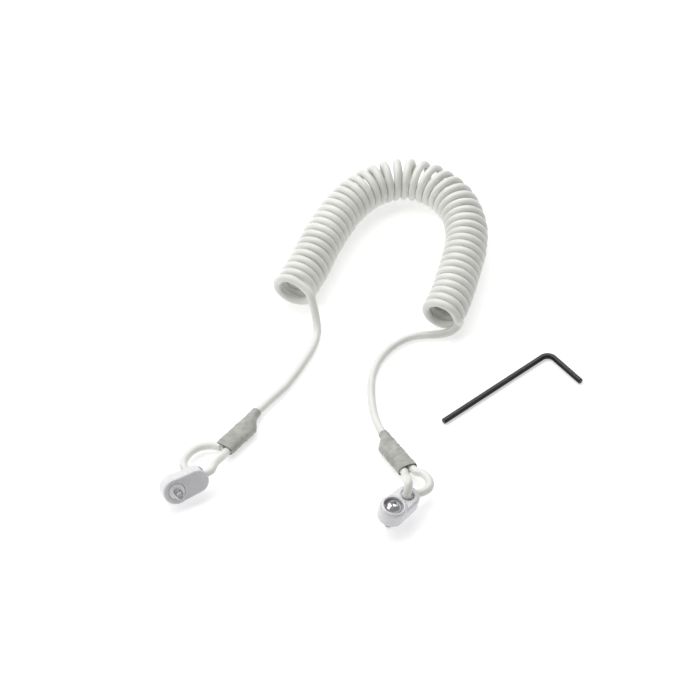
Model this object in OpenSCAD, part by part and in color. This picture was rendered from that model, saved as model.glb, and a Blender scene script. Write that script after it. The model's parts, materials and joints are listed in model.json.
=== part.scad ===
// Coiled cable tether with a screw lug on a cable loop at each end, and
// the hex key that fits its screws. Millimetres, +Z up, resting on z = 0.

/* [Cable] */
// outer diameter of the jacketed cable
cable_d = 2.9; // [2:0.1:4]
// diameter of the bared steel core at the cut ends
core_d = 1.5; // [0.8:0.1:2]
// length of bared core at each cut end
core_len = 4; // [1:0.5:6]

/* [Coil] */
// outer diameter of the coil
coil_d = 15.6; // [12:0.1:20]

/* [Lug] */
// outer diameter of the screw boss
boss_d = 9.4; // [8.6:0.1:9.8]
// height of the screw boss
boss_h = 6.5; // [5:0.1:9]
// rounding of the boss at its top rim
boss_top_r = 1.2; // [0.4:0.1:1.5]
// rounding of the boss at its bottom rim
boss_low_r = 1.0; // [0.4:0.1:1.3]
// thickness of the arm
arm_t = 5.6; // [5.2:0.1:6]
// outer diameter of the rounded end of the arm
arm_d = 8.6; // [8:0.1:10]
// distance from the screw axis to the cable eye
eye_x = 7.7; // [7.7:0.1:10]
// diameter of the cable eye
eye_d = 4.7; // [4.7:0.1:5]
// rounding of the eye's mouth
eye_round = 0.4; // [0.2:0.1:0.4]
// thickness of the arm's floor under the eye
eye_floor = 1.1; // [0.8:0.1:1.1]
// height of the slot through which the cable leaves the arm's end
slot_h = 3.2; // [3.2:0.1:3.4]
// diameter of the counterbore for the screw head
bore_d = 6.9; // [6:0.1:7.6]
// depth of the counterbore
bore_h = 1.8; // [1:0.1:3]
// clearance hole for the screw
hole_d = 3.3; // [3.1:0.1:3.6]
// diameter of the recess for the washer in the underside
recess_d = 5.9; // [5.8:0.1:6.4]
// depth of the recess
recess_h = 0.66; // [0.6:0.01:1]

/* [Clamp screw] */
// thread diameter
screw_d = 3; // [2.5:0.5:3]
// length under the head
screw_len = 10; // [8:0.5:12]
// length of the thread at its tip
thread_len = 3.7; // [2:0.1:6]
// diameter of the waisted neck between thread and head
neck_d = 2.3; // [1.8:0.1:2.4]
// diameter of the button head
head_d = 5.7; // [5:0.1:6.5]
// height of the button head
head_h = 1.65; // [1.2:0.05:2.2]
// hex socket across its flats
socket_af = 2.0; // [1.5:0.1:2.5]
// depth of the hex socket
socket_h = 1.1; // [0.8:0.1:1.3]
// gap under the head while the screw hangs in its lug
head_gap = 0.9; // [0:0.1:1.5]
// outer diameter of the retaining washer
washer_d = 5.6; // [5:0.1:6.5]
// thickness of the retaining washer
washer_t = 0.6; // [0.4:0.1:0.9]

/* [Sleeve and ferrule] */
// width of the sleeve over the two cables
sleeve_w = 7.4; // [6.6:0.1:8.4]
// height of the sleeve over the two cables
sleeve_h = 4.6; // [3.8:0.1:5.4]
// diameter of the sleeve where it grips one cable
sleeve_neck = 3.7; // [3.6:0.1:4.4]
// wall of the sleeve
sleeve_wall = 0.35; // [0.25:0.05:0.5]
// length of the ferrule
ferrule_len = 9; // [6:0.5:11]

/* [Hex key] */
// key size across its flats
key_af = 2.0; // [1.5:0.1:2.5]
// long arm over all
key_long = 50; // [40:1:60]
// short arm over all
key_short = 18; // [14:1:22]
// bend radius of the key's centre line
key_bend = 3.2; // [2.5:0.1:5]

/* [Hidden] */
// the whole part is moved by this, so that its origin lies in the middle
lay = [0, 0.63, 0];
$fn = 64;
cable_r = cable_d / 2;
ring_r = cable_r + 0.05;

// where each lug lies: point on its screw axis at the underside, and its turn
left_at = [-67.1, -27.2, 7.0];
left_turn = [-119, -8, 26];
right_at = [5.1, -35.9, 4.57];
right_turn = [7.6, 7.3, 50];

// where each sleeve lies: neck end, wide end
left_neck = [-40.9, 12.0, 2.2];
left_wide = [-52.1, -4.9, 2.45];
right_neck = [2.9, 2.0, 2.3];
right_wide = [11.3, -15.1, 3.9];

// where the key lies: corner of its centre line, and the way its long arm points
key_at = [61.8, 39.7, 0];
key_turn = 219.5;

// vectors and turns
function unit(v) = v / norm(v);
function rx(a) = [[1, 0, 0], [0, cos(a), -sin(a)], [0, sin(a), cos(a)]];
function ry(a) = [[cos(a), 0, sin(a)], [0, 1, 0], [-sin(a), 0, cos(a)]];
function rz(a) = [[cos(a), -sin(a), 0], [sin(a), cos(a), 0], [0, 0, 1]];
function turned(t, v) = rz(t[2]) * (ry(t[1]) * (rx(t[0]) * v));

// the eye of a lug, and the lug's axes
function eye_of(at, t) = at + turned(t, [eye_x, 0, arm_t / 2]);
left_eye = eye_of(left_at, left_turn);
right_eye = eye_of(right_at, right_turn);
left_up = turned(left_turn, [0, 0, 1]);
right_up = turned(right_turn, [0, 0, 1]);
left_out = turned(left_turn, [1, 0, 0]);
right_out = turned(right_turn, [1, 0, 0]);

// sleeve axes: a along it from neck to mouth, s sideways
left_a = unit(left_wide - left_neck);
right_a = unit(right_wide - right_neck);
left_s = unit(cross(left_a, [0, 0, 1]));
right_s = unit(cross(right_a, [0, 0, 1]));
left_len = norm(left_wide - left_neck);
right_len = norm(right_wide - right_neck);
// the two cables lie askew in a sleeve, by `sway` at the distance 13 from the
// mouth, so that the tail runs straight into its neck
sway = 1.3;
function askew(u) = u <= 13 ? sway * u / 13 : sway * max(0, (17.2 - u) / 4.2);
// a point in a sleeve: u along the axis from the mouth back to the neck, v sideways
function in_left(u, v) = left_wide - left_a * u + left_s * (v - askew(u));
function in_right(u, v) = right_wide - right_a * u + right_s * (v + askew(u));
// directions of the two cables in a sleeve, from neck to mouth, and sideways
left_b = unit(left_wide - in_left(9, 0));
right_b = unit(right_wide - in_right(9, 0));
left_c = unit(cross(left_b, [0, 0, 1]));
right_c = unit(cross(right_b, [0, 0, 1]));

// bend of the cable above an eye: from c, first along `up`, turning
// towards `e`, with the bend radius r
function bend(c, up, e, r, angles) =
    [for (q = angles) c + e * (r * (1 - cos(q))) + up * (r * sin(q))];
eye_bend = 3.4;
// the cable in a lug: a point at the distance r from the eye's axis and the
// height z, in the direction f, and the elbow from the eye into the slot
function in_eye(at, t, f, r, z) =
    at + turned(t, [eye_x + r * cos(f), r * sin(f), z]);
elbow_z = eye_floor + slot_h / 2 + eye_bend;
function elbow(at, t, f, angles) =
    [for (q = angles) in_eye(at, t, f, 2.8 - eye_bend * cos(q),
        elbow_z - eye_bend * sin(q))];
left_f = -5;
right_f = -10;

// smooth curve through route points, k pieces between two points
function at_cr(p, i, t) =
    let (n = len(p) - 1,
         a = i > 0 ? p[i - 1] : 2 * p[0] - p[1],
         b = p[i], c = p[i + 1],
         d = i + 2 <= n ? p[i + 2] : 2 * p[n] - p[n - 1])
    0.5 * (2 * b + (c - a) * t + (2 * a - 5 * b + 4 * c - d) * t * t
           + (3 * b - a - 3 * c + d) * t * t * t);
function smooth(p, k) =
    concat([for (i = [0 : len(p) - 2], j = [0 : k - 1]) at_cr(p, i, j / k)],
           [p[len(p) - 1]]);

// a tube of radius r with n sides along the points p
function way(p, i) = i == 0 ? unit(p[1] - p[0])
    : i == len(p) - 1 ? unit(p[i] - p[i - 1])
    : unit(unit(p[i + 1] - p[i]) + unit(p[i] - p[i - 1]));
function side(w, v) = unit(v - w * (v * w));
function sides(p, i, v) = i >= len(p) ? []
    : let (v1 = side(way(p, i), v)) concat([v1], sides(p, i + 1, v1));
module tube(p, r, n, start) {
    m = len(p);
    v = sides(p, 0, start);
    verts = concat(
        [for (i = [0 : m - 1], j = [0 : n - 1])
            let (w = way(p, i), u = cross(w, v[i]), q = 360 * (j + 0.5) / n)
            p[i] + r * (cos(q) * v[i] + sin(q) * u)],
        [p[0], p[m - 1]]);
    faces = concat(
        [for (i = [0 : m - 2], j = [0 : n - 1])
            [i * n + j, (i + 1) * n + (j + 1) % n, i * n + (j + 1) % n]],
        [for (i = [0 : m - 2], j = [0 : n - 1])
            [i * n + j, (i + 1) * n + j, (i + 1) * n + (j + 1) % n]],
        [for (j = [0 : n - 1]) [m * n, j, (j + 1) % n]],
        [for (j = [0 : n - 1])
            [m * n + 1, (m - 1) * n + (j + 1) % n, (m - 1) * n + j]]);
    polyhedron(points = verts, faces = faces);
}

// centre line of the coil, in plan
coil_z = 7.8;
coil_plan = [[-28.5, 62.7], [-25, 71.5], [-19.8, 85], [-14, 98], [-8, 107.5],
    [0, 115], [11, 118.7], [22, 115.5], [30.2, 106.8], [33.8, 95],
    [33, 82], [28.5, 64.5], [23.7, 50.4]];
coil_route = [for (q = coil_plan) [q[0], q[1], coil_z]];

// centre lines of the two plain tails, from the coil into the sleeves
tail_left_route = concat(
    [[-24.5, 61, 13.6], [-22.2, 57.4, 9.6], [-20.9, 53.6, 5.6],
     [-20.3, 49, 2.7], [-21.6, 42.6, 1.6], [-25.6, 33.8, 1.6],
     [-31, 24.4, 1.6], [-36.4, 17.6, 1.8]],
    [in_left(18.5, 0), in_left(15.6, 0.55), in_left(13, 1.45),
     in_left(9, cable_r + 0.1), in_left(0, cable_r + 0.1)]);
tail_right_route = concat(
    [[30.6, 49.4, 6.4], [27.4, 48.3, 2.8], [21.5, 47.7, 1.6],
     [14.2, 47.2, 1.6], [8.2, 44, 1.6], [2.6, 37.6, 1.6],
     [-0.6, 29, 1.6], [-1, 18, 1.6], [0.6, 8, 1.9]],
    [in_right(17.8, 0), in_right(15.6, -0.55), in_right(13, -1.45),
     in_right(9, -cable_r - 0.1), in_right(0, -cable_r - 0.1)]);

// centre lines of the two loops, from the mouth of the sleeve down into the
// eye, out through the slot and back under the ferrule
loop_left_route = concat(
    [in_left(0, cable_r + 0.1), [-56.6, -3.4, 2.4], [-61.2, -4.8, 2.7],
     [-64.6, -8.6, 3.2], [-65.6, -13.4, 4.1],
     in_eye(left_at, left_turn, left_f, -0.6, 9)],
    elbow(left_at, left_turn, left_f, [0, 30, 60, 90]),
    [in_eye(left_at, left_turn, left_f, 4.8, elbow_z - eye_bend),
     [-55.9, -18.9, 8.05], [-54.6, -15.2, 7.5], [-52.2, -10, 5]],
    [in_left(0, -cable_r - 0.1), in_left(9, -cable_r - 0.1)]);
loop_right_route = concat(
    [in_right(9, cable_r + 0.1), in_right(0, cable_r + 0.1),
     [10.4, -19.6, 5.6], [10.8, -23.4, 9.4]],
    bend(in_eye(right_at, right_turn, right_f, -0.6, elbow_z), right_up,
        [0, 1, 0], eye_bend, [70, 45, 22]),
    elbow(right_at, right_turn, right_f, [0, 30, 60, 90]),
    [in_eye(right_at, right_turn, right_f, 4.8, elbow_z - eye_bend),
     [16.5, -25.7, 5.2], [18.1, -24.1, 4.9], [18.7, -22, 4.7],
     [18.2, -19.6, 4.5], [16.4, -17.2, 4.2], [14.2, -16.2, 4]],
    [in_right(0, -cable_r - 0.1)]);

module placed() {
    translate(lay) children();
}

// rounded boss, round the screw axis
module boss() {
    rotate_extrude() difference() {
        union() {
            square([boss_d / 2 - boss_top_r, boss_h]);
            translate([0, boss_low_r])
                square([boss_d / 2, boss_h - boss_low_r - boss_top_r]);
            translate([boss_d / 2 - boss_top_r, boss_h - boss_top_r])
                circle(boss_top_r);
            intersection() {
                translate([boss_d / 2 - boss_low_r, boss_low_r]) circle(boss_low_r);
                square([boss_d, boss_low_r]);
            }
        }
        translate([boss_d / 2 - boss_low_r, -1])
            difference() {
                square([boss_low_r + 1, boss_low_r + 1]);
                translate([0, boss_low_r + 1]) circle(boss_low_r);
            }
        translate([-boss_d, -1]) square([boss_d, boss_h + 2]);
    }
}

// one lug: underside at z = 0, screw axis on z, eye towards +x
module lug_body() {
    a = boss_d / 2 - 0.05;
    b = arm_d / 2;
    e = b - 0.03;
    q = acos((a - b) / eye_x);
    difference() {
        union() {
            boss();
            linear_extrude(arm_t) {
                translate([eye_x, 0]) circle(b);
                polygon([[0, 0],
                    [a * cos(q), -a * sin(q)], [eye_x + e * cos(q), -e * sin(q)],
                    [eye_x + e * cos(q), e * sin(q)], [a * cos(q), a * sin(q)]]);
            }
        }
        translate([0, 0, boss_h - bore_h]) cylinder(d = bore_d, h = bore_h + 1);
        translate([0, 0, -1]) cylinder(d = hole_d, h = boss_h);
        translate([0, 0, -1]) cylinder(d = recess_d, h = recess_h + 1);
        translate([eye_x, 0, 0]) rotate_extrude() difference() {
            union() {
                translate([0, eye_floor])
                    square([eye_d / 2, arm_t + 1 - eye_floor]);
                translate([0, arm_t - eye_round])
                    square([eye_d / 2 + eye_round, eye_round + 1]);
            }
            translate([eye_d / 2 + eye_round, arm_t - eye_round]) circle(eye_round);
        }
        translate([eye_x, 0, eye_floor]) linear_extrude(slot_h)
            polygon([[-0.676, -1.45], [7.48, -5.26], [11, 0], [3.85, 8.29],
                [-1.31, 0.918]]);
    }
}

// one screw in its lug's frame: head in the counterbore, tip downwards
module screw_body() {
    z0 = boss_h - bore_h + head_gap;
    ball = (head_d * head_d / 4 + head_h * head_h) / (2 * head_h);
    translate([0, 0, z0]) difference() {
        union() {
            intersection() {
                translate([0, 0, head_h - ball]) sphere(ball);
                cylinder(d = head_d, h = head_h);
            }
            translate([0, 0, 0.4 - screw_len]) cylinder(d = neck_d, h = screw_len);
            translate([0, 0, 0.4 - screw_len])
                cylinder(d = screw_d, h = thread_len - 0.4);
            translate([0, 0, -screw_len])
                cylinder(d1 = screw_d - 0.8, d2 = screw_d, h = 0.4);
        }
        translate([0, 0, head_h - socket_h])
            cylinder(d = socket_af / cos(30), h = socket_h + 1, $fn = 6);
    }
}

// one washer in its lug's frame, in the recess and round the screw's neck
module washer_body() {
    translate([0, 0, 0.02]) difference() {
        cylinder(d = washer_d, h = washer_t);
        translate([0, 0, -1]) cylinder(d = neck_d + 0.1, h = washer_t + 2);
    }
}

// an oval shell: rings of [distance from the mouth, half width, half height,
// shift sideways]
module shell(mouth, a, s, outer, inner) {
    n = 24;
    up = cross(s, a);
    rings = concat(outer, [for (i = [len(inner) - 1 : -1 : 0]) inner[i]]);
    m = len(rings);
    verts = [for (g = rings, j = [0 : n - 1]) let (q = 360 * j / n)
        mouth - a * g[0] + s * (g[3] + g[1] * cos(q)) + up * (g[2] * sin(q))];
    faces = [for (i = [0 : m - 1], j = [0 : n - 1], h = [0, 1])
        let (i1 = (i + 1) % m, j1 = (j + 1) % n)
        h == 0 ? [i * n + j, i * n + j1, i1 * n + j1]
               : [i * n + j, i1 * n + j1, i1 * n + j]];
    polyhedron(points = verts, faces = faces);
}
module sleeve_body(mouth, a, s, l, way) {
    w = sleeve_w / 2;
    h = sleeve_h / 2;
    k = sleeve_neck / 2;
    t = sleeve_wall;
    g = [[0, w, h], [13, w, h], [14.6, w - 0.6, h - 0.05],
        [16, k + 0.55, k + 0.2], [17.2, k + 0.15, k + 0.1], [l, k, k]];
    shell(mouth, a, s,
        [for (q = g) [q[0], q[1], q[2], way * askew(q[0])]],
        [for (q = g) [q[0], q[1] - t, q[2] - t, way * askew(q[0])]]);
}
module ferrule_body(mouth, a, s) {
    w = sleeve_w / 2 - sleeve_wall - 0.06;
    h = sleeve_h / 2 - sleeve_wall - 0.03;
    shell(mouth - a * 0.6, a, s,
        [[0, w, h, 0], [ferrule_len, w, h, 0]],
        [[0, w - 0.35, h - 0.4, 0], [ferrule_len, w - 0.35, h - 0.4, 0]]);
}

module cable_coil() {
    color([0.86, 0.87, 0.84]) placed() tube(smooth(coil_route, 2), coil_d / 2 / cos(11.25), 16, [0, 0, 1]);
}
module cable_tail_left() {
    color([0.86, 0.87, 0.84]) placed() tube(tail_left_route, ring_r, 8, [0, 0, 1]);
}
module cable_tail_right() {
    color([0.86, 0.87, 0.84]) placed() tube(tail_right_route, ring_r, 8, [0, 0, 1]);
}
module cable_loop_left() {
    color([0.86, 0.87, 0.84]) placed() tube(loop_left_route, ring_r, 8, [0, 0, 1]);
}
module cable_loop_right() {
    color([0.86, 0.87, 0.84]) placed() tube(loop_right_route, ring_r, 8, [0, 0, 1]);
}
module core_body(from, a) {
    tube([from, from - a * core_len], core_d / 2, 12, [0, 0, 1]);
}
module wire_core_end_left() {
    color([0.6, 0.61, 0.62]) placed() core_body(in_left(9, -cable_r - 0.1), left_b);
}
module wire_core_end_right() {
    color([0.6, 0.61, 0.62]) placed() core_body(in_right(9, cable_r + 0.1), right_b);
}
module crimp_ferrule_left() {
    color([0.7, 0.71, 0.72]) placed() ferrule_body(left_wide, left_b, left_c);
}
module crimp_ferrule_right() {
    color([0.7, 0.71, 0.72]) placed() ferrule_body(right_wide, right_b, right_c);
}
module shrink_sleeve_left() {
    color([0.66, 0.67, 0.63]) placed() sleeve_body(left_wide, left_a, left_s, left_len, -1);
}
module shrink_sleeve_right() {
    color([0.66, 0.67, 0.63]) placed() sleeve_body(right_wide, right_a, right_s, right_len, 1);
}
module lug_left() {
    color([0.93, 0.93, 0.95]) placed() translate(left_at) rotate(left_turn) lug_body();
}
module lug_right() {
    color([0.93, 0.93, 0.95]) placed() translate(right_at) rotate(right_turn) lug_body();
}
module clamp_screw_left() {
    color([0.75, 0.76, 0.78]) placed() translate(left_at) rotate(left_turn) screw_body();
}
module clamp_screw_right() {
    color([0.75, 0.76, 0.78]) placed() translate(right_at) rotate(right_turn) screw_body();
}
module retaining_washer_left() {
    color([0.6, 0.61, 0.64]) placed() translate(left_at) rotate(left_turn) washer_body();
}
module retaining_washer_right() {
    color([0.6, 0.61, 0.64]) placed() translate(right_at) rotate(right_turn) washer_body();
}
module hex_key() {
    r = key_af / 2 / cos(30);
    color([0.1, 0.1, 0.11]) placed()
    translate(key_at) rotate(key_turn) translate([0, 0, key_af / 2]) {
        translate([key_bend, 0, 0]) rotate([0, 90, 0])
            linear_extrude(key_long - key_af / 2 - key_bend) rotate(30) circle(r, $fn = 6);
        translate([0, key_bend, 0]) rotate([-90, 0, 0])
            linear_extrude(key_short - key_af / 2 - key_bend) circle(r, $fn = 6);
        translate([key_bend, key_bend, 0]) rotate(180)
            rotate_extrude(angle = 90) translate([key_bend, 0]) circle(r, $fn = 6);
    }
}

cable_coil();
cable_tail_left();
cable_tail_right();
cable_loop_left();
cable_loop_right();
wire_core_end_left();
wire_core_end_right();
crimp_ferrule_left();
crimp_ferrule_right();
shrink_sleeve_left();
shrink_sleeve_right();
lug_left();
lug_right();
clamp_screw_left();
clamp_screw_right();
retaining_washer_left();
retaining_washer_right();
hex_key();
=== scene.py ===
import json
import math

import bmesh
import bpy
import numpy as np
from mathutils import Matrix, Vector

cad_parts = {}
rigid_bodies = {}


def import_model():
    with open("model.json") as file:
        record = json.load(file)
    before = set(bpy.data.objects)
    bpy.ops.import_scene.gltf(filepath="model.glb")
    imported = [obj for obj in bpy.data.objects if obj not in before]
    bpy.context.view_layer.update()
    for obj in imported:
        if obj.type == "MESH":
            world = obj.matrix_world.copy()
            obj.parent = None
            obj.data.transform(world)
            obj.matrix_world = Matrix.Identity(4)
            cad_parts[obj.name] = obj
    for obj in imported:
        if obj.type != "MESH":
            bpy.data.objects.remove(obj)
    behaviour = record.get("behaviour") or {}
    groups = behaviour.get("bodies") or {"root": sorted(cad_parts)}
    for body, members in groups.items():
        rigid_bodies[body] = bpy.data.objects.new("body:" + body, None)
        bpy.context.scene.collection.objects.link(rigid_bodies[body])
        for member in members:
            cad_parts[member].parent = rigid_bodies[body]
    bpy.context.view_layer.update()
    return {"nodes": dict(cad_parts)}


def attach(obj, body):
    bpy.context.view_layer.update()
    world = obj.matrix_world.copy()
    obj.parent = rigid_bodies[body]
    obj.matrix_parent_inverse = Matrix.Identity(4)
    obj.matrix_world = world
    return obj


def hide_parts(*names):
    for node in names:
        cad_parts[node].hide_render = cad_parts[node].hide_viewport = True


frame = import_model()

# ------------------------------------------------------------------ frame
MM = 0.001
LAY = np.array([0.0, 0.63, 0.0])
LEFT_AT, LEFT_TURN = np.array([-67.1, -27.2, 7.0]), (-119, -8, 26)
RIGHT_AT, RIGHT_TURN = np.array([5.1, -35.9, 4.57]), (7.6, 7.3, 50)
LEFT_NECK, LEFT_WIDE = np.array([-40.9, 12.0, 2.2]), np.array([-52.1, -4.9, 2.45])
RIGHT_NECK, RIGHT_WIDE = np.array([2.9, 2.0, 2.3]), np.array([11.3, -15.1, 3.9])
EYE_X, ARM_T = 7.7, 5.6
FLOOR_T, SLOT_H = 1.1, 3.2
CABLE_D = 2.9
CABLE_R = CABLE_D / 2
COIL_R = 6.35
COIL_Z = 7.8


def unit(v):
    v = np.asarray(v, float)
    return v / np.linalg.norm(v)


def turn(t):
    a, b, c = (math.radians(x) for x in t)
    rx = np.array([[1, 0, 0], [0, math.cos(a), -math.sin(a)], [0, math.sin(a), math.cos(a)]])
    ry = np.array([[math.cos(b), 0, math.sin(b)], [0, 1, 0], [-math.sin(b), 0, math.cos(b)]])
    rz = np.array([[math.cos(c), -math.sin(c), 0], [math.sin(c), math.cos(c), 0], [0, 0, 1]])
    return rz @ ry @ rx


ML, MR = turn(LEFT_TURN), turn(RIGHT_TURN)
LEFT_UP, RIGHT_UP = ML[:, 2], MR[:, 2]
LEFT_A, RIGHT_A = unit(LEFT_WIDE - LEFT_NECK), unit(RIGHT_WIDE - RIGHT_NECK)
LEFT_S, RIGHT_S = unit(np.cross(LEFT_A, [0, 0, 1])), unit(np.cross(RIGHT_A, [0, 0, 1]))
LEFT_LEN = float(np.linalg.norm(LEFT_WIDE - LEFT_NECK))
RIGHT_LEN = float(np.linalg.norm(RIGHT_WIDE - RIGHT_NECK))


def askew(u):
    return 1.3 * u / 13 if u <= 13 else 1.3 * max(0.0, (17.2 - u) / 4.2)


def in_left(u, v, w=0.0):
    return LEFT_WIDE - LEFT_A * u + LEFT_S * (v - askew(u)) + np.cross(LEFT_S, LEFT_A) * w


def in_right(u, v, w=0.0):
    return RIGHT_WIDE - RIGHT_A * u + RIGHT_S * (v + askew(u)) + np.cross(RIGHT_S, RIGHT_A) * w


LEFT_B, RIGHT_B = unit(LEFT_WIDE - in_left(9, 0)), unit(RIGHT_WIDE - in_right(9, 0))
LEFT_C, RIGHT_C = unit(np.cross(LEFT_B, [0, 0, 1])), unit(np.cross(RIGHT_B, [0, 0, 1]))


# ------------------------------------------------------------------ camera
ELEV = math.radians(49.5)
AIM = Vector((-8.52, 42.65, 0.0)) * MM
cam_data = bpy.data.cameras.new("camera")
cam_data.sensor_width = 36.0
cam_data.lens = 36.0 * 1100.0 / 0.355 / 700.0
cam_data.clip_start = 0.01
cam_data.clip_end = 20.0
camera = bpy.data.objects.new("camera", cam_data)
bpy.context.scene.collection.objects.link(camera)
view_from = Vector((0, -math.cos(ELEV), math.sin(ELEV)))
camera.location = AIM + view_from * 1.1
camera.rotation_euler = view_from.to_track_quat("Z", "Y").to_euler()
bpy.context.scene.camera = camera


# ------------------------------------------------------------------ curves
def smooth(points, step, closed=False):
    """A centripetal Catmull-Rom curve through the points, with a point about every step."""
    p = np.array(points, float)
    q = np.vstack([2 * p[0] - p[1], p, 2 * p[-1] - p[-2]])
    out = []
    for i in range(1, len(q) - 2):
        a, b, c, d = q[i - 1], q[i], q[i + 1], q[i + 2]
        t0 = 0.0
        t1 = t0 + max(np.linalg.norm(b - a), 1e-9) ** 0.5
        t2 = t1 + max(np.linalg.norm(c - b), 1e-9) ** 0.5
        t3 = t2 + max(np.linalg.norm(d - c), 1e-9) ** 0.5
        n = max(2, int(np.linalg.norm(c - b) / step * 3))
        for k in range(n):
            t = t1 + (t2 - t1) * k / n
            a1 = (t1 - t) / (t1 - t0) * a + (t - t0) / (t1 - t0) * b
            a2 = (t2 - t) / (t2 - t1) * b + (t - t1) / (t2 - t1) * c
            a3 = (t3 - t) / (t3 - t2) * c + (t - t2) / (t3 - t2) * d
            b1 = (t2 - t) / (t2 - t0) * a1 + (t - t0) / (t2 - t0) * a2
            b2 = (t3 - t) / (t3 - t1) * a2 + (t - t1) / (t3 - t1) * a3
            out.append((t2 - t) / (t2 - t1) * b1 + (t - t1) / (t2 - t1) * b2)
    out.append(p[-1])
    return spaced(np.array(out), step)


def length_of(p):
    return float(np.linalg.norm(np.diff(p, axis=0), axis=1).sum())


def spaced(p, step):
    s = np.concatenate([[0], np.cumsum(np.linalg.norm(np.diff(p, axis=0), axis=1))])
    n = max(2, int(round(s[-1] / step)) + 1)
    t = np.linspace(0, s[-1], n)
    return np.stack([np.interp(t, s, p[:, i]) for i in range(3)], 1)


def relax(p, rounds, keep=3):
    """Evens out small kinks and leaves the first and last points."""
    p = p.copy()
    for _ in range(rounds):
        m = (p[:-2] + p[1:-1] * 2 + p[2:]) / 4
        p[keep:-keep] = m[keep - 1:len(m) - keep + 1]
    return p


# the coil's centre line in plan, and the cable's own line round it
COIL_PLAN = [(-28.6, 62.7), (-25.8, 69.9), (-23.3, 74.8), (-19.8, 84.9), (-15.8, 93.9),
             (-10.4, 104.2), (-2.9, 112.8), (4.2, 117.3), (11, 118.7), (18, 117.4),
             (24.8, 113.2), (30.6, 105.8), (33.5, 96.8), (33.9, 87.9), (32.4, 79.1),
             (29.8, 69.0), (27.1, 58.9), (23.7, 50.4)]
plan = smooth([(x, y, COIL_Z) for x, y in COIL_PLAN], 0.25)
plan = relax(plan, 400, 3)
plan = spaced(plan, 0.25)
along = np.gradient(plan, axis=0)
along /= np.linalg.norm(along, axis=1)[:, None]
bend_of = np.gradient(along, axis=0) / 0.25
out_of = np.stack([-along[:, 1], along[:, 0], np.zeros(len(along))], 1)
plan_s = np.concatenate([[0], np.cumsum(np.linalg.norm(np.diff(plan, axis=0), axis=1))])
curv = -(bend_of * out_of).sum(1)
for _ in range(2):
    curv = np.convolve(np.pad(curv, 48, mode="edge"), np.ones(97) / 97, "valid")
# pitch: the turns lie nearly touching on the legs and fan out round the arch,
# where their inner sides touch
pitch = np.maximum(3.36, 2.93 / (1 - np.clip(curv, 0, None) * COIL_R))
pitch = np.convolve(np.pad(pitch, 24, mode="edge"), np.ones(49) / 49, "valid")
turns = np.concatenate([[0], np.cumsum((0.5 / pitch[1:] + 0.5 / pitch[:-1]) * np.diff(plan_s))])
turns *= 43.3056 / turns[-1]
PHASE = 100.0
psi = np.radians(PHASE) - 2 * math.pi * turns
n_turns = turns[-1]
print("coil: turns", round(float(n_turns), 2), "plan length", round(float(plan_s[-1]), 1),
      "pitch", round(float(pitch.min()), 2), round(float(pitch.max()), 2),
      "end phase", round(math.degrees(psi[-1]) % 360, 1))


def coil_point(t):
    """The cable's centre at turn t, counted from the left mouth."""
    c = np.array([np.interp(t, turns, plan[:, i]) for i in range(3)])
    n = unit([np.interp(t, turns, out_of[:, i]) for i in range(3)])
    a = math.radians(PHASE) - 2 * math.pi * t
    r = COIL_R + 0.05 * math.sin(1.7 * t + 0.6) + 0.04 * math.sin(0.61 * t * 2 * math.pi)
    flare = 0.9 * max(0.0, 1 - t / 0.7) ** 2
    z = 0.05 * math.sin(0.9 * t + 1.1)
    p = c + n * ((r + flare) * math.cos(a)) + np.array([0, 0, r * math.sin(a) + z])
    p[2] = min(max(p[2], CABLE_R + 0.02), 15.57 - CABLE_R)
    return p


helix = [coil_point(k / 24) for k in range(0, int(n_turns * 24) + 1)]

tail_left = [in_left(0, CABLE_R + 0.1), in_left(4.5, CABLE_R + 0.1), in_left(9, CABLE_R + 0.1),
             in_left(13, 1.45), in_left(15.6, 0.55), in_left(18.5, 0, -0.05),
             (-36.4, 17.6, 1.75),
             (-31, 24.4, 1.5), (-25.6, 33.8, 1.47), (-21.6, 42.6, 1.47), (-20.2, 48.6, 2.2),
             (-20.6, 52.6, 4.6), (-21.6, 56.0, 8.2), (-23.2, 58.9, 11.8)]
tail_right = [(30.4, 49.6, 6.2), (28.4, 48.7, 3.4), (25.0, 48.2, 1.8), (21.0, 47.9, 1.47),
              (14.2, 47.2, 1.47), (8.2, 44, 1.47), (2.6, 37.6, 1.47), (-0.6, 29, 1.47),
              (-1, 18, 1.5), (0.6, 8, 1.85), in_right(17.8, 0, -0.05), in_right(15.6, -0.55),
              in_right(13, -1.45), in_right(9, -CABLE_R - 0.1), in_right(4.5, -CABLE_R - 0.1),
              in_right(0, -CABLE_R - 0.1)]


def bend(c, up, e, r, angles):
    return [c + e * (r * (1 - math.cos(math.radians(q)))) + up * (r * math.sin(math.radians(q)))
            for q in angles]


BEND = 3.4
ELBOW_Z = FLOOR_T + SLOT_H / 2 + BEND


def in_eye(at, m, f, r, z):
    f = math.radians(f)
    return at + m @ np.array([EYE_X + r * math.cos(f), r * math.sin(f), z])


def elbow(at, m, f, angles):
    """From the blind eye round into the slot at the arm's end."""
    return [in_eye(at, m, f, 2.8 - BEND * math.cos(math.radians(q)), ELBOW_Z - BEND * math.sin(math.radians(q)))
            for q in angles]


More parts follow.
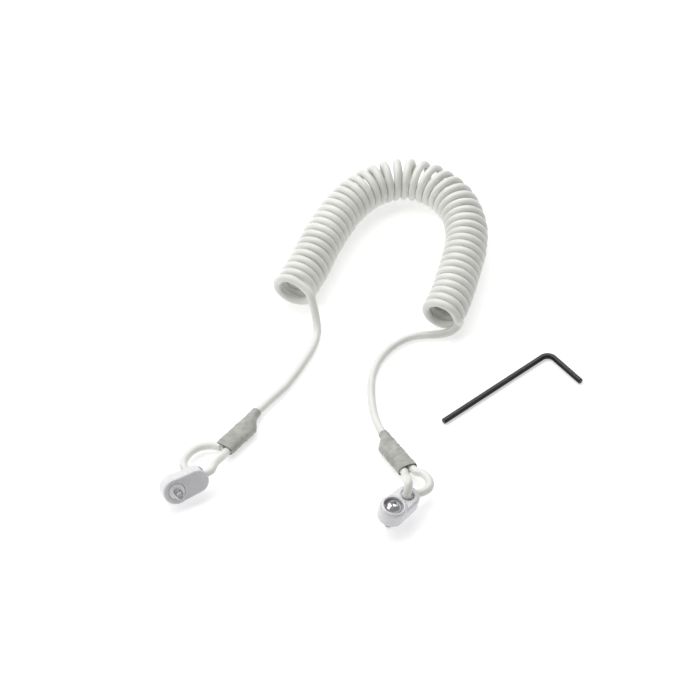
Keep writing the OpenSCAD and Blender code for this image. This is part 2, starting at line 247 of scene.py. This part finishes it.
NORTH = np.array([0, 1.0, 0])
loop_left = ([in_left(9, CABLE_R + 0.1), in_left(4.5, CABLE_R + 0.1), in_left(0, CABLE_R + 0.1),
              (-56.6, -3.4, 2.4), (-61.2, -4.8, 2.7), (-64.6, -8.6, 3.2), (-65.6, -13.4, 4.1),
              in_eye(LEFT_AT, ML, -5, -0.6, 9)]
             + elbow(LEFT_AT, ML, -5, [0, 22, 45, 67, 90])
             + [in_eye(LEFT_AT, ML, -5, 4.8, ELBOW_Z - BEND),
                (-55.9, -18.9, 8.05), (-54.6, -15.2, 7.5), (-52.2, -10, 5)]
             + [in_left(0, -CABLE_R - 0.1), in_left(4.5, -CABLE_R - 0.1), in_left(9, -CABLE_R - 0.1)])
loop_right = ([in_right(9, CABLE_R + 0.1), in_right(4.5, CABLE_R + 0.1), in_right(0, CABLE_R + 0.1),
               (10.4, -19.6, 5.6), (10.8, -23.4, 9.4)]
              + bend(in_eye(RIGHT_AT, MR, -10, -0.6, ELBOW_Z), RIGHT_UP, NORTH, BEND, [70, 45, 22])
              + elbow(RIGHT_AT, MR, -10, [0, 22, 45, 67, 90])
              + [in_eye(RIGHT_AT, MR, -10, 4.8, ELBOW_Z - BEND),
                 (16.5, -25.7, 5.2), (18.1, -24.1, 4.9), (18.7, -22.0, 4.7), (18.2, -19.6, 4.5),
                 (16.4, -17.2, 4.2), (14.2, -16.2, 4)]
              + [in_right(0, -CABLE_R - 0.1), in_right(4.5, -CABLE_R - 0.1), in_right(9, -CABLE_R - 0.1)])

main_line = smooth(tail_left + helix[1:-1] + tail_right, 0.8)
main_line[:, 2] = np.maximum(main_line[:, 2], CABLE_R + 0.01)
loop_left_line = smooth(loop_left[2:], 0.5)
loop_right_line = smooth(loop_right[:-2], 0.5)
dead_left_line = smooth(loop_left[-3:], 0.5)
dead_right_line = smooth(loop_right[:3], 0.5)


def world(p):
    return (np.asarray(p, float) + LAY) * MM


def cord_curve(name, line, d):
    cu = bpy.data.curves.new(name, "CURVE")
    cu.dimensions = "3D"
    cu.bevel_depth = 1.0
    cu.bevel_resolution = 5
    cu.use_fill_caps = True
    cu.twist_mode = "MINIMUM"
    sp = cu.splines.new("POLY")
    w = world(line)
    sp.points.add(len(w) - 1)
    co = np.ones((len(w), 4))
    co[:, :3] = w
    sp.points.foreach_set("co", co.ravel())
    sp.points.foreach_set("radius", np.full(len(w), d / 2 * MM))
    sp.use_smooth = True
    o = bpy.data.objects.new(name, cu)
    bpy.context.scene.collection.objects.link(o)
    return o


main = cord_curve("cable_main", main_line, CABLE_D)
loop_l = cord_curve("cable_loop_left_round", loop_left_line, CABLE_D)
loop_r = cord_curve("cable_loop_right_round", loop_right_line, CABLE_D)
for o, nodes, line in ((main, ("cable_coil", "cable_tail_left", "cable_tail_right"), main_line),
                       (loop_l, ("cable_loop_left",), loop_left_line),
                       (loop_r, ("cable_loop_right",), loop_right_line)):
    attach(o, "tether")
    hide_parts(*nodes)
    print(o.name, "length", round(length_of(line), 1), "mm, points", len(line))


# ------------------------------------------------------------------ materials
def material(name, colour, rough, metal=0.0, **inputs):
    m = bpy.data.materials.new(name)
    m.use_nodes = True
    nt = m.node_tree
    b = nt.nodes["Principled BSDF"]
    b.inputs["Base Color"].default_value = (*colour, 1)
    b.inputs["Roughness"].default_value = rough
    b.inputs["Metallic"].default_value = metal
    for k, v in inputs.items():
        b.inputs[k.replace("_", " ")].default_value = v
    return m, nt, b


def noise(nt, scale, detail=4.0, rough=0.55, coords=None):
    n = nt.nodes.new("ShaderNodeTexNoise")
    n.inputs["Scale"].default_value = scale
    n.inputs["Detail"].default_value = detail
    n.inputs["Roughness"].default_value = rough
    if coords is None:
        coords = nt.nodes.new("ShaderNodeTexCoord").outputs["Object"]
    nt.links.new(coords, n.inputs["Vector"])
    return n


def ramp(nt, src, stops):
    r = nt.nodes.new("ShaderNodeValToRGB")
    els = r.color_ramp.elements
    while len(els) < len(stops):
        els.new(0.5)
    for e, (pos, col) in zip(els, stops):
        e.position = pos
        e.color = (*col, 1) if len(col) == 3 else col
    nt.links.new(src, r.inputs["Fac"])
    return r


def grey(v):
    return (v, v, v)


def bump(nt, b, height, strength, distance):
    n = nt.nodes.new("ShaderNodeBump")
    n.inputs["Strength"].default_value = strength
    n.inputs["Distance"].default_value = distance
    nt.links.new(height, n.inputs["Height"])
    nt.links.new(n.outputs["Normal"], b.inputs["Normal"])
    return n


def srgb(r, g, b):
    return tuple((c / 12.92 if c <= 0.04045 else ((c + 0.055) / 1.055) ** 2.4)
                 for c in (r / 255, g / 255, b / 255))


def jacket_material():
    m, nt, b = material("jacket_pvc", srgb(226, 227, 220), 0.38,
                        Specular_IOR_Level=0.5, Subsurface_Weight=0.04, Subsurface_Scale=0.0008)
    b.inputs["Subsurface Radius"].default_value = (1.0, 0.9, 0.7)
    n = noise(nt, 90, 5)
    c = ramp(nt, n.outputs["Fac"], [(0.3, srgb(222, 222, 217)), (0.7, srgb(234, 234, 230))])
    nt.links.new(c.outputs["Color"], b.inputs["Base Color"])
    n2 = noise(nt, 420, 4)
    r = ramp(nt, n2.outputs["Fac"], [(0.3, grey(0.32)), (0.75, grey(0.47))])
    nt.links.new(r.outputs["Color"], b.inputs["Roughness"])
    n3 = noise(nt, 2600, 3)
    bump(nt, b, n3.outputs["Fac"], 0.25, 0.00003)
    return m


jacket = jacket_material()
for o in (main, loop_l, loop_r):
    o.data.materials.append(jacket)


def lug_material():
    m, nt, b = material("lug_plastic", srgb(216, 216, 219), 0.24, Specular_IOR_Level=0.55,
                        Subsurface_Weight=0.1, Subsurface_Scale=0.001, Coat_Weight=0.25,
                        Coat_Roughness=0.12)
    n = noise(nt, 160, 4)
    c = ramp(nt, n.outputs["Fac"], [(0.3, srgb(211, 211, 214)), (0.72, srgb(221, 221, 224))])
    nt.links.new(c.outputs["Color"], b.inputs["Base Color"])
    n2 = noise(nt, 700, 4)
    r = ramp(nt, n2.outputs["Fac"], [(0.3, grey(0.2)), (0.8, grey(0.34))])
    nt.links.new(r.outputs["Color"], b.inputs["Roughness"])
    n3 = noise(nt, 1500, 3)
    bump(nt, b, n3.outputs["Fac"], 0.2, 0.00004)
    return m


def sleeve_material():
    m, nt, b = material("shrink_tube", srgb(186, 187, 178), 0.5, Specular_IOR_Level=0.45)
    n = noise(nt, 260, 6, 0.65)
    c = ramp(nt, n.outputs["Fac"], [(0.28, srgb(146, 147, 141)), (0.5, srgb(170, 171, 165)),
                                    (0.75, srgb(192, 193, 188))])
    nt.links.new(c.outputs["Color"], b.inputs["Base Color"])
    n2 = noise(nt, 900, 5)
    r = ramp(nt, n2.outputs["Fac"], [(0.3, grey(0.4)), (0.75, grey(0.62))])
    nt.links.new(r.outputs["Color"], b.inputs["Roughness"])
    n3 = noise(nt, 1100, 5, 0.65)
    bump(nt, b, n3.outputs["Fac"], 0.5, 0.0001)
    return m


# painted shade: a darker copy of the shrink tube material, for the inside of the sleeve and its cut edges
def mouth_shade_material():
    m, nt, b = material("shrink_tube_painted_mouth_shade", srgb(112, 113, 108), 0.6, Specular_IOR_Level=0.35)
    n = noise(nt, 600, 5, 0.6)
    c = ramp(nt, n.outputs["Fac"], [(0.3, srgb(96, 97, 92)), (0.7, srgb(134, 135, 129))])
    nt.links.new(c.outputs["Color"], b.inputs["Base Color"])
    bump(nt, b, n.outputs["Fac"], 0.4, 0.00008)
    return m


def nylon_material():
    m, nt, b = material("washer_nylon", srgb(240, 240, 238), 0.4, Specular_IOR_Level=0.5)
    n = noise(nt, 900, 4)
    c = ramp(nt, n.outputs["Fac"], [(0.3, srgb(234, 234, 231)), (0.7, srgb(245, 245, 243))])
    nt.links.new(c.outputs["Color"], b.inputs["Base Color"])
    bump(nt, b, n.outputs["Fac"], 0.15, 0.00003)
    return m


def steel_material(name, colour, rough, brushed=False):
    m, nt, b = material(name, colour, rough, 1.0)
    n = noise(nt, 900, 5, 0.6)
    r = ramp(nt, n.outputs["Fac"], [(0.3, grey(max(0.05, rough - 0.08))), (0.75, grey(rough + 0.12))])
    nt.links.new(r.outputs["Color"], b.inputs["Roughness"])
    c = ramp(nt, noise(nt, 350, 4).outputs["Fac"],
             [(0.3, tuple(x * 0.86 for x in colour)), (0.7, colour)])
    nt.links.new(c.outputs["Color"], b.inputs["Base Color"])
    n3 = noise(nt, 2400, 3)
    bump(nt, b, n3.outputs["Fac"], 0.2, 0.00002)
    return m


def key_material():
    m, nt, b = material("key_black_oxide", (0.012, 0.012, 0.013), 0.36, 0.35, Specular_IOR_Level=0.6)
    n = noise(nt, 500, 6, 0.65)
    c = ramp(nt, n.outputs["Fac"], [(0.35, (0.008, 0.008, 0.009)), (0.62, (0.016, 0.016, 0.017)),
                                    (0.8, (0.035, 0.034, 0.033))])
    nt.links.new(c.outputs["Color"], b.inputs["Base Color"])
    r = ramp(nt, noise(nt, 1300, 5).outputs["Fac"], [(0.3, grey(0.28)), (0.75, grey(0.5))])
    nt.links.new(r.outputs["Color"], b.inputs["Roughness"])
    n3 = noise(nt, 3000, 4)
    bump(nt, b, n3.outputs["Fac"], 0.35, 0.00003)
    return m


lug_mat = lug_material()
sleeve_mat = sleeve_material()
# the darker sleeve copy below is painted shade for the inside of the mouth
mouth_shade_mat = mouth_shade_material()
screw_mat = steel_material("screw_zinc", (0.72, 0.73, 0.75), 0.2)
thread_mat = steel_material("screw_thread", (0.6, 0.6, 0.62), 0.28)
washer_mat = nylon_material()
ferrule_mat = steel_material("ferrule_aluminium", (0.66, 0.67, 0.68), 0.38)
rope_mat = steel_material("wire_rope", (0.5, 0.51, 0.52), 0.3)
key_mat = key_material()


# ------------------------------------------------------------------ mesh tools
def make(name, verts, faces, mat, body, smooth_shade=True, nodes=(), sharp=None):
    me = bpy.data.meshes.new(name)
    me.from_pydata([tuple(v) for v in verts], [], [tuple(int(i) for i in f) for f in faces])
    me.validate()
    me.update()
    mats = mat if isinstance(mat, (list, tuple)) else [mat]
    for x in mats:
        me.materials.append(x)
    if smooth_shade:
        me.shade_smooth()
    if sharp is not None:
        me.set_sharp_from_angle(angle=math.radians(sharp))
    o = bpy.data.objects.new(name, me)
    bpy.context.scene.collection.objects.link(o)
    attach(o, body)
    if nodes:
        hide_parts(*nodes)
    return o


def grid_faces(m, n, closed=True, offset=0, flip=False):
    """Quads between m rings of n points."""
    faces = []
    last = n if closed else n - 1
    for i in range(m - 1):
        for j in range(last):
            a, b = i * n + j, i * n + (j + 1) % n
            c, d = (i + 1) * n + (j + 1) % n, (i + 1) * n + j
            f = (a, b, c, d)
            faces.append(tuple(offset + x for x in (f[::-1] if flip else f)))
    return faces


# ------------------------------------------------------------------ lug
def smin(a, b, k):
    h = np.clip(0.5 + 0.5 * (b - a) / k, 0, 1)
    return b * (1 - h) + a * h - k * h * (1 - h)


def smax(a, b, k):
    return -smin(-a, -b, k)


def lug_field(p):
    x, y, z = p[..., 0], p[..., 1], p[..., 2]
    r = np.hypot(x, y)

    def rounded(dr, z0, z1, low, top):
        """Distance to a revolved bar: dr is the distance outside its side."""
        zc = (z0 + z1) / 2
        rad = np.where(z > zc, top, low)
        qx = dr + rad
        qz = np.where(z > zc, z - z1, z0 - z) + rad
        return np.minimum(np.maximum(qx, qz), 0) + np.hypot(np.maximum(qx, 0), np.maximum(qz, 0)) - rad

    boss = rounded(r - 4.7, 0.0, 6.5, 1.0, 1.15)
    t = np.clip(x / EYE_X, 0, 1)
    arm2d = np.hypot(x - t * EYE_X, y) - (4.66 - 0.36 * t)
    arm = rounded(arm2d, 0.0, ARM_T, 0.8, 0.9)
    body = smin(boss, arm, 0.35)
    body = np.maximum(body, -z)
    # counterbore, screw hole, recess for the washer
    body = smax(body, -np.maximum(r - 3.45, 4.7 - z), 0.3)
    body = smax(body, -(r - 1.65), 0.2)
    body = smax(body, -np.maximum(r - 2.95, z - 0.66), 0.1)
    # blind eye from above, slot towards the arm's end
    rr = np.hypot(x - EYE_X, y)
    eye = np.maximum(rr - 2.35, FLOOR_T - z)
    u = x - EYE_X
    f, g = math.radians(55), math.radians(25)
    wedge = np.maximum(y * math.cos(f) - u * math.sin(f), -y * math.cos(g) - u * math.sin(g)) - 1.6
    zc = FLOOR_T + SLOT_H / 2
    slot = np.maximum(np.maximum(wedge, -u - 1.31), np.abs(z - zc) - SLOT_H / 2)
    body = smax(body, -eye, 0.4)
    body = smax(body, -slot, 0.18)
    return body


def surface_net(field, lo, hi, h):
    lo, hi = np.array(lo, float), np.array(hi, float)
    n = np.ceil((hi - lo) / h).astype(int) + 1
    ax = [lo[i] + h * np.arange(n[i]) for i in range(3)]
    g = np.stack(np.meshgrid(*ax, indexing="ij"), -1)
    d = field(g)
    ins = d < 0
    cnt = np.zeros(tuple(n - 1), int)
    for i in (0, 1):
        for j in (0, 1):
            for k in (0, 1):
                cnt += ins[i:n[0] - 1 + i, j:n[1] - 1 + j, k:n[2] - 1 + k]
    active = (cnt > 0) & (cnt < 8)
    idx = -np.ones(active.shape, int)
    idx[active] = np.arange(active.sum())
    cells = np.argwhere(active)
    acc = np.zeros((len(cells), 3))
    num = np.zeros(len(cells))
    for axis in range(3):
        o = [a for a in range(3) if a != axis]
        for u in (0, 1):
            for v in (0, 1):
                c0 = cells.copy()
                c0[:, o[0]] += u
                c0[:, o[1]] += v
                c1 = c0.copy()
                c1[:, axis] += 1
                d0 = d[tuple(c0.T)]
                d1 = d[tuple(c1.T)]
                cross = (d0 < 0) != (d1 < 0)
                t = np.where(cross, d0 / np.where(cross, d0 - d1, 1), 0)
                q = c0 + t[:, None] * (c1 - c0)
                acc += np.where(cross[:, None], q, 0)
                num += cross
    verts = lo + h * acc / num[:, None]
    faces = []
    for axis in range(3):
        o = [(axis + 1) % 3, (axis + 2) % 3]
        a = np.take(ins, range(0, n[axis] - 1), axis)
        b = np.take(ins, range(1, n[axis]), axis)
        e = np.argwhere(a != b)
        for p in e:
            if p[o[0]] == 0 or p[o[1]] == 0 or p[o[0]] >= n[o[0]] - 1 or p[o[1]] >= n[o[1]] - 1:
                continue
            quad = []
            for u, v in ((1, 1), (0, 1), (0, 0), (1, 0)):
                c = p.copy()
                c[o[0]] -= u
                c[o[1]] -= v
                quad.append(idx[tuple(c)])
            if not ins[tuple(p)]:
                quad = quad[::-1]
            faces.append(quad)
    e = 0.01
    for _ in range(2):
        f0 = field(verts)
        gr = np.stack([(field(verts + np.eye(3)[i] * e) - field(verts - np.eye(3)[i] * e)) / (2 * e)
                       for i in range(3)], -1)
        gl = np.maximum((gr ** 2).sum(1), 0.2)
        verts = verts - np.clip(f0 / gl, -h * 0.5, h * 0.5)[:, None] * gr
    return verts, faces


lug_verts, lug_faces = surface_net(lug_field, (-5.3, -5.3, -0.35), (12.6, 5.3, 6.9), 0.15)
print("lug mesh", len(lug_verts), "points", len(lug_faces), "faces")


def placed(points, at, m):
    return world(np.asarray(points, float) @ m.T + at)


lug_l = make("lug_left_moulded", placed(lug_verts, LEFT_AT, ML), lug_faces, lug_mat, "left_lug",
             nodes=("lug_left",))
lug_r = make("lug_right_moulded", placed(lug_verts, RIGHT_AT, MR), lug_faces, lug_mat, "right_lug",
             nodes=("lug_right",))


# ------------------------------------------------------------------ screw and washer
def rings(profile, n):
    """Rings of n points round z, from (radius, height) or (function of the angle, height)."""
    out = []
    for r, z in profile:
        for j in range(n):
            a = 2 * math.pi * j / n
            rad = r(a) if callable(r) else r
            out.append((rad * math.cos(a), rad * math.sin(a), z))
    return out


def hex_r(af, grow=0.0):
    def f(a):
        q = (a + math.pi / 6) % (math.pi / 3) - math.pi / 6
        return (af / 2 + grow) / math.cos(q)
    return f


def screw_mesh():
    n = 72
    z0, hh, hd = 5.6, 1.65, 5.7
    ball = (hd * hd / 4 + hh * hh) / (2 * hh)
    top = z0 + hh
    prof = [(0.001, top - 1.25), (0.45, top - 1.18), (hex_r(2.0, -0.02), top - 1.1),
            (hex_r(2.0), top - 1.06), (hex_r(2.0), top - 0.5), (hex_r(2.0), top - 0.17),
            (hex_r(2.0, 0.03), top - 0.1), (hex_r(2.0, 0.1), top - 0.05)]
    for r in (1.32, 1.5, 1.7, 1.95, 2.2, 2.42, 2.6, 2.72):
        prof.append((r, z0 + hh - ball + math.sqrt(ball * ball - r * r)))
    prof += [(2.8, z0 + 0.13), (2.84, z0 + 0.06), (2.83, z0 + 0.02), (2.78, z0), (1.3, z0),
             (1.15, z0 - 0.12), (1.15, -0.55), (1.17, -0.68)]
    verts = rings(prof, n)
    faces = grid_faces(len(prof), n)
    faces.insert(0, tuple(range(n))[::-1])
    head = len(faces) - n
    # a thread of 0.5 mm pitch below the waisted neck
    base = len(verts)
    rows = []
    zs = np.arange(-0.71, -4.4 - 1e-6, -0.045)
    for z in zs:
        row = []
        for j in range(n):
            a = 2 * math.pi * j / n
            f = ((z * -2.0) - a / (2 * math.pi)) % 1.0
            tri = abs(f - 0.5) * 2
            depth = 0.3 * np.clip((tri - 0.16) / 0.7, 0, 1)
            rad = 1.5 - depth
            rad = min(rad, 1.2 + (-0.71 - z) * 1.3)
            if z < -4.0:
                rad = min(rad, 1.1 + (z + 4.4))
            row.append((rad * math.cos(a), rad * math.sin(a), z))
        rows += row
    verts += rows
    faces += grid_faces(len(zs), n, offset=base)
    faces += [(base - n + j, base - n + (j + 1) % n, base + (j + 1) % n, base + j) for j in range(n)]
    end = base + (len(zs) - 1) * n
    c = len(verts)
    bottom = float(zs[-1])
    verts += [(0.55 * math.cos(2 * math.pi * j / n), 0.55 * math.sin(2 * math.pi * j / n), bottom)
              for j in range(n)]
    verts.append((0, 0, bottom + 0.03))
    for j in range(n):
        faces.append((end + j, end + (j + 1) % n, c + (j + 1) % n, c + j))
        faces.append((c + j, c + (j + 1) % n, c + n))
    return verts, faces, head


screw_verts, screw_faces, screw_head = screw_mesh()


def washer_mesh():
    n = 64
    z1, z0 = 0.62, 0.02
    prof = [(1.2, z0 + 0.05), (1.25, z0), (2.72, z0), (2.8, z0 + 0.08), (2.8, z1 - 0.08), (2.72, z1),
            (1.25, z1), (1.2, z1 - 0.05), (1.2, z0 + 0.05)]
    return rings(prof, n), grid_faces(len(prof), n, flip=False)


washer_verts, washer_faces = washer_mesh()
for side_name, at, m in (("left", LEFT_AT, ML), ("right", RIGHT_AT, MR)):
    o = make("clamp_screw_%s_threaded" % side_name, placed(screw_verts, at, m), screw_faces,
             [screw_mat, thread_mat], side_name + "_screw", nodes=("clamp_screw_" + side_name,),
             sharp=35)
    for i, p in enumerate(o.data.polygons):
        if i >= screw_head:
            p.material_index = 1
    make("retaining_washer_%s_turned" % side_name, placed(washer_verts, at, m), washer_faces, washer_mat,
         side_name + "_washer", nodes=("retaining_washer_" + side_name,), sharp=40)


# ------------------------------------------------------------------ sleeves, ferrules, bared ends
def sleeve_mesh(mouth, a, s, length, seed, way):
    """Shrunk tube: outer skin from the mouth to the neck, then the inner skin back."""
    up = np.cross(s, a)
    n = 56
    w, h, k, t = 3.7, 2.3, 1.85, 0.35
    stations = [(0.0, w, h), (13.0, w, h), (14.6, w - 0.6, h - 0.05), (16.0, k + 0.55, k + 0.2),
                (17.2, k + 0.15, k + 0.1), (length, k, k)]
    su = np.array([q[0] for q in stations])
    sw = np.array([q[1] for q in stations])
    sh = np.array([q[2] for q in stations])
    us = np.concatenate([np.linspace(0, length, 96)])
    rng = np.random.default_rng(seed)
    ph = rng.uniform(0, 6.28, 8)
    verts = []

    def pt(u, wd, ht, q, lift):
        # cross section between an oval and two cables side by side
        cs, sn = math.cos(q), math.sin(q)
        e = 2.0 + 0.35 * min(1, max(0, (15 - u) / 3))
        x = wd * math.copysign(abs(cs) ** (2 / e), cs)
        z = ht * math.copysign(abs(sn) ** (2 / e), sn)
        x *= (1 + lift / max(wd, 1e-6))
        z *= (1 + lift / max(ht, 1e-6))
        return mouth - a * u + s * (x + way * askew(u)) + up * z

    def wave(u, q):
        v = 0.05 * math.sin(0.9 * u + ph[0] + math.sin(q + ph[1]))
        v += 0.035 * math.sin(2.1 * u + 2 * q + ph[2]) + 0.03 * math.sin(3.7 * u - 3 * q + ph[3])
        v += 0.02 * math.sin(6.3 * u + 5 * q + ph[4])
        groove = 0.1 * max(0.0, abs(math.sin(q)) - 0.75) * 4 * min(1, max(0, (13.5 - u) / 2))
        return v - 0.09 - groove

    outer = []
    for u in us:
        wd, ht = np.interp(u, su, sw), np.interp(u, su, sh)
        edge = -0.1 * math.exp(-(u / 0.18) ** 2)
        for j in range(n):
            q = 2 * math.pi * j / n
            uu = u
            if u < 0.8:
                uu = u + (0.8 - u) * 0.25 * (math.sin(2 * q + ph[5]) * 0.5 + math.sin(5 * q + ph[6]) * 0.25 + 0.6)
            outer.append(pt(uu, wd, ht, q, wave(u, q) + edge))
    inner = []
    for u in us[::-1]:
        wd, ht = np.interp(u, su, sw) - t, np.interp(u, su, sh) - t
        for j in range(n):
            q = 2 * math.pi * j / n
            uu = u
            if u < 0.8:
                uu = u + (0.8 - u) * 0.25 * (math.sin(2 * q + ph[5]) * 0.5 + math.sin(5 * q + ph[6]) * 0.25 + 0.6) + 0.03
            inner.append(pt(uu, wd, ht, q, min(0.0, wave(u, q) + 0.08)))
    verts = outer + inner
    m = len(verts) // n
    faces = grid_faces(m, n)
    for j in range(n):
        faces.append(((m - 1) * n + j, (m - 1) * n + (j + 1) % n, (j + 1) % n, j))
    return np.array(verts), faces


def ferrule_mesh(mouth, a, s):
    up = np.cross(s, a)
    n = 48
    w, h = 3.26, 1.9
    start = mouth - a * 0.6
    prof = [(0.0, 0.38), (0.0, 0.05), (0.12, 0.0), (8.88, 0.0), (9.0, 0.05), (9.0, 0.38)]
    verts = []
    for u, inset in prof + [(9.0, 0.4), (0.0, 0.4)]:
        for j in range(n):
            q = 2 * math.pi * j / n
            pinch = 0.0
            if 0.3 < u < 8.7:
                pinch = 0.0
            verts.append(start - a * u + s * ((w - inset) * math.cos(q)) + up * ((h - inset) * math.sin(q)))
    m = len(prof) + 2
    faces = grid_faces(m, n)
    for j in range(n):
        faces.append(((m - 1) * n + j, (m - 1) * n + (j + 1) % n, (j + 1) % n, j))
    return np.array(verts), faces


def rope_mesh(start, a, s, length):
    """Seven strands, twisted, without their jacket."""
    up = np.cross(s, a)
    verts, faces = [], []
    for strand in range(7):
        base = len(verts)
        m, n = 30, 8
        for i in range(m):
            u = length * i / (m - 1)
            q0 = 0.0 if strand == 6 else 2 * math.pi * strand / 6 + u * 0.9
            rad = 0.0 if strand == 6 else 0.5
            c = start - a * u + s * (rad * math.cos(q0)) + up * (rad * math.sin(q0))
            for j in range(n):
                q = 2 * math.pi * j / n
                verts.append(c + s * (0.245 * math.cos(q)) + up * (0.245 * math.sin(q)))
        faces += grid_faces(m, n, offset=base)
        faces.append(tuple(base + j for j in range(n))[::-1])
        faces.append(tuple(base + (m - 1) * n + j for j in range(n)))
    return np.array(verts), faces


for side_name, mouth, a, s, ln, seed, way, b, c in (
        ("left", LEFT_WIDE, LEFT_A, LEFT_S, LEFT_LEN, 5, -1, LEFT_B, LEFT_C),
        ("right", RIGHT_WIDE, RIGHT_A, RIGHT_S, RIGHT_LEN, 11, 1, RIGHT_B, RIGHT_C)):
    v, f = sleeve_mesh(mouth, a, s, ln, seed, way)
    o = make("shrink_sleeve_%s_tube" % side_name, world(v), f, [sleeve_mat, mouth_shade_mat], "tether",
             nodes=("shrink_sleeve_" + side_name,))
    # painted shade: the cut edges and the whole inner skin take the darker copy of the tube material, standing in
    # for the shade inside the mouth
    skin = 96 * 56
    for poly in o.data.polygons:
        if min(poly.vertices) >= skin - 56 or (max(poly.vertices) >= skin and min(poly.vertices) < 56):
            poly.material_index = 1
    v, f = ferrule_mesh(mouth, b, c)
    make("crimp_ferrule_%s_pressed" % side_name, world(v), f, ferrule_mat, "tether",
         nodes=("crimp_ferrule_" + side_name,), sharp=35)
    start = in_left(9, -CABLE_R - 0.1) if side_name == "left" else in_right(9, CABLE_R + 0.1)
    v, f = rope_mesh(start, b, c, 4.0)
    make("wire_core_end_%s_strands" % side_name, world(v), f, rope_mat, "tether",
         nodes=("wire_core_end_" + side_name,))
    dead = dead_left_line if side_name == "left" else dead_right_line
    o = cord_curve("cable_dead_end_" + side_name, dead, CABLE_D)
    o.data.materials.append(jacket)
    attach(o, "tether")


# ------------------------------------------------------------------ hex key
def key_mesh():
    """A hexagon with slightly rounded corners along an L, in the key's own frame."""
    af, lng, sht, rb = 2.0, 49.0, 17.0, 3.2
    sec = []
    for k in range(6):
        for dq in (-4.5, 4.5):
            q = math.radians(60 * k + dq)
            r = af / 2 / math.cos(math.radians(30 - abs(dq)))
            sec.append((r * math.cos(q), r * math.sin(q)))
    line = [((lng, 0.0), (-1, 0)), ((lng - 0.001, 0.0), (-1, 0)), ((lng - 0.25, 0.0), (-1, 0))]
    line += [((x, 0.0), (-1, 0)) for x in np.linspace(lng - 1, rb + 0.5, 24)]
    for q in np.linspace(0, math.pi / 2, 17):
        line.append(((rb - rb * math.sin(q), rb - rb * math.cos(q)), (-math.cos(q), math.sin(q))))
    line += [((0.0, y), (0, 1)) for y in np.linspace(rb + 0.5, sht - 1, 8)]
    line += [((0.0, sht - 0.25), (0, 1)), ((0.0, sht - 0.001), (0, 1)), ((0.0, sht), (0, 1))]
    verts = []
    scale = [0.8, 0.84, 1.0] + [1.0] * (len(line) - 6) + [1.0, 0.84, 0.8]
    for ((x, y), (tx, ty)), sc in zip(line, scale):
        nx, ny = ty, -tx
        for u, v in sec:
            verts.append((x + nx * u * sc, y + ny * u * sc, 1.0 + v * sc))
    n = len(sec)
    faces = grid_faces(len(line), n)
    faces.append(tuple(range(n))[::-1])
    faces.append(tuple((len(line) - 1) * n + j for j in range(n)))
    return np.array(verts), faces


kv, kf = key_mesh()
kt = math.radians(219.5)
KR = np.array([[math.cos(kt), -math.sin(kt), 0], [math.sin(kt), math.cos(kt), 0], [0, 0, 1]])
key = make("hex_key_bent", world(kv @ KR.T + np.array([61.8, 39.7, 0.0])), kf, key_mat, "key",
           nodes=("hex_key",), sharp=25)

for o in list(bpy.context.scene.objects):
    if o.type == "MESH" and o.name not in frame["nodes"]:
        bm = bmesh.new()
        bm.from_mesh(o.data)
        bmesh.ops.recalc_face_normals(bm, faces=bm.faces)
        bm.to_mesh(o.data)
        bm.free()


# ------------------------------------------------------------------ floor and light
floor_me = bpy.data.meshes.new("floor")
R_FLOOR = 3.0
floor_me.from_pydata([(-R_FLOOR, -R_FLOOR, 0), (R_FLOOR, -R_FLOOR, 0), (R_FLOOR, R_FLOOR, 0),
                      (-R_FLOOR, R_FLOOR, 0)], [], [(0, 1, 2, 3)])
floor = bpy.data.objects.new("floor", floor_me)
bpy.context.scene.collection.objects.link(floor)
floor_mat, fnt, fb = material("floor_white", (0.7, 0.7, 0.7), 0.9, Specular_IOR_Level=0.1)
fb.inputs["Emission Color"].default_value = (1, 1, 1, 1)
fb.inputs["Emission Strength"].default_value = 0.5
floor_me.materials.append(floor_mat)

w = bpy.data.worlds.new("studio")
bpy.context.scene.world = w
w.use_nodes = True
bg = w.node_tree.nodes["Background"]
bg.inputs["Color"].default_value = (1.0, 1.0, 1.0, 1)
bg.inputs["Strength"].default_value = 0.3


def area(name, loc, aim, size, power, colour=(1, 1, 1)):
    d = bpy.data.lights.new(name, "AREA")
    d.shape = "RECTANGLE"
    d.size, d.size_y = size
    d.energy = power
    d.color = colour
    o = bpy.data.objects.new(name, d)
    bpy.context.scene.collection.objects.link(o)
    o.location = loc
    o.rotation_euler = (Vector(loc) - Vector(aim)).to_track_quat("Z", "Y").to_euler()
    return o


area("soft_top", (-0.2, 0.6, 1.0), (0, 0.04, 0), (1.5, 1.1), 14.0)
area("soft_left", (-0.8, -0.1, 0.7), (0, 0.04, 0), (0.6, 0.6), 2.4)

sc = bpy.context.scene
sc.view_settings.view_transform = "Standard"
sc.view_settings.look = "None"
sc.view_settings.exposure = 0.0
sc.view_settings.gamma = 1.0
